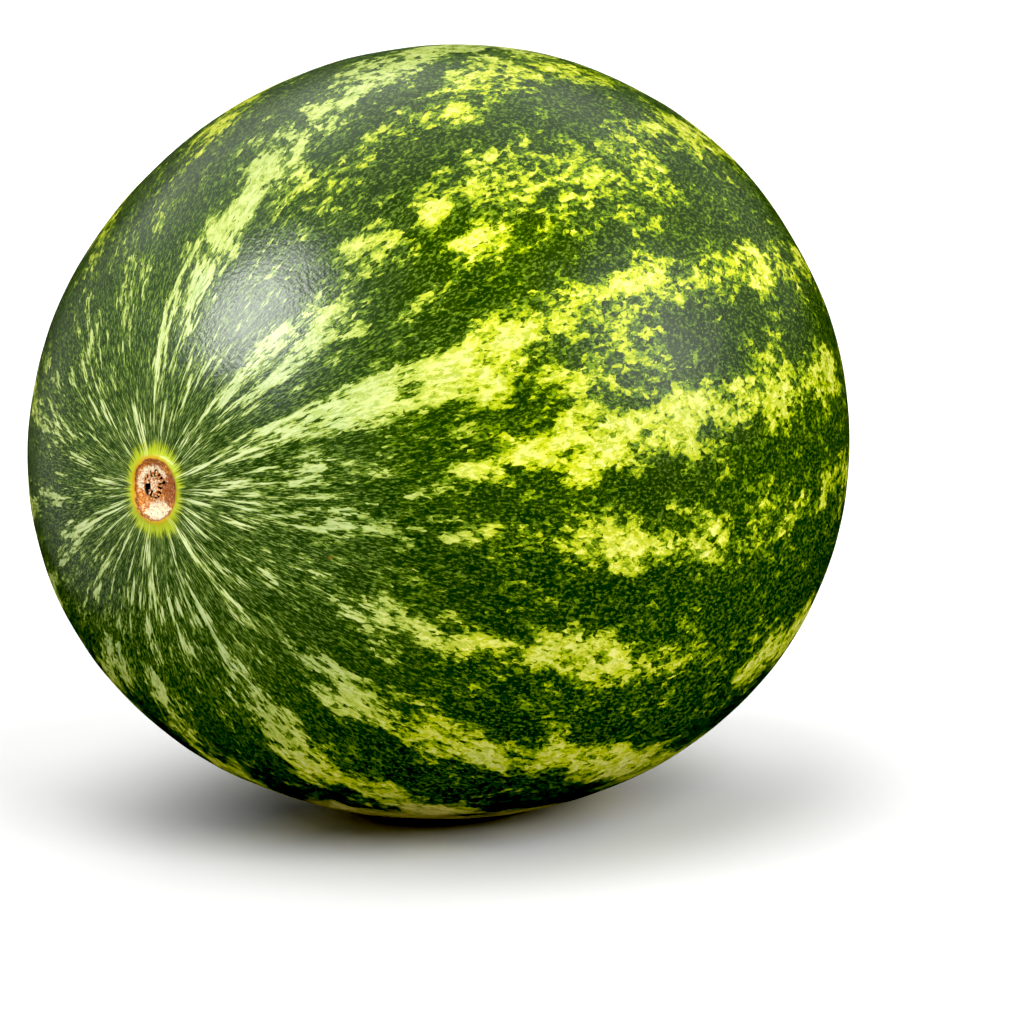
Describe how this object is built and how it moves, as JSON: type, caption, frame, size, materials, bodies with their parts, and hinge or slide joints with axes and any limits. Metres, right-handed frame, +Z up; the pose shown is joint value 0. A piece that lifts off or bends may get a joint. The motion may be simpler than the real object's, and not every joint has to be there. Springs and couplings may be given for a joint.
{
  "type": "watermelon",
  "caption": "Whole striped watermelon lying on its side, slightly lopsided, with a corky stem scar at one end and a small flower scar at the other.",
  "frame": {"origin": "middle of the bounding box, on the plane that the melon rests on", "axes": "+Z up, +X along the fruit's length from the stem scar towards the flower scar, -Y towards the side that the picture shows"},
  "size_m": [0.2768, 0.239, 0.2381],
  "materials": {
    "rind": "waxy gloss, dark green with jagged yellow-green stripes"
  },
  "bodies": {
    "root": {"watermelon": "rind"}
  },
  "joints": []
}
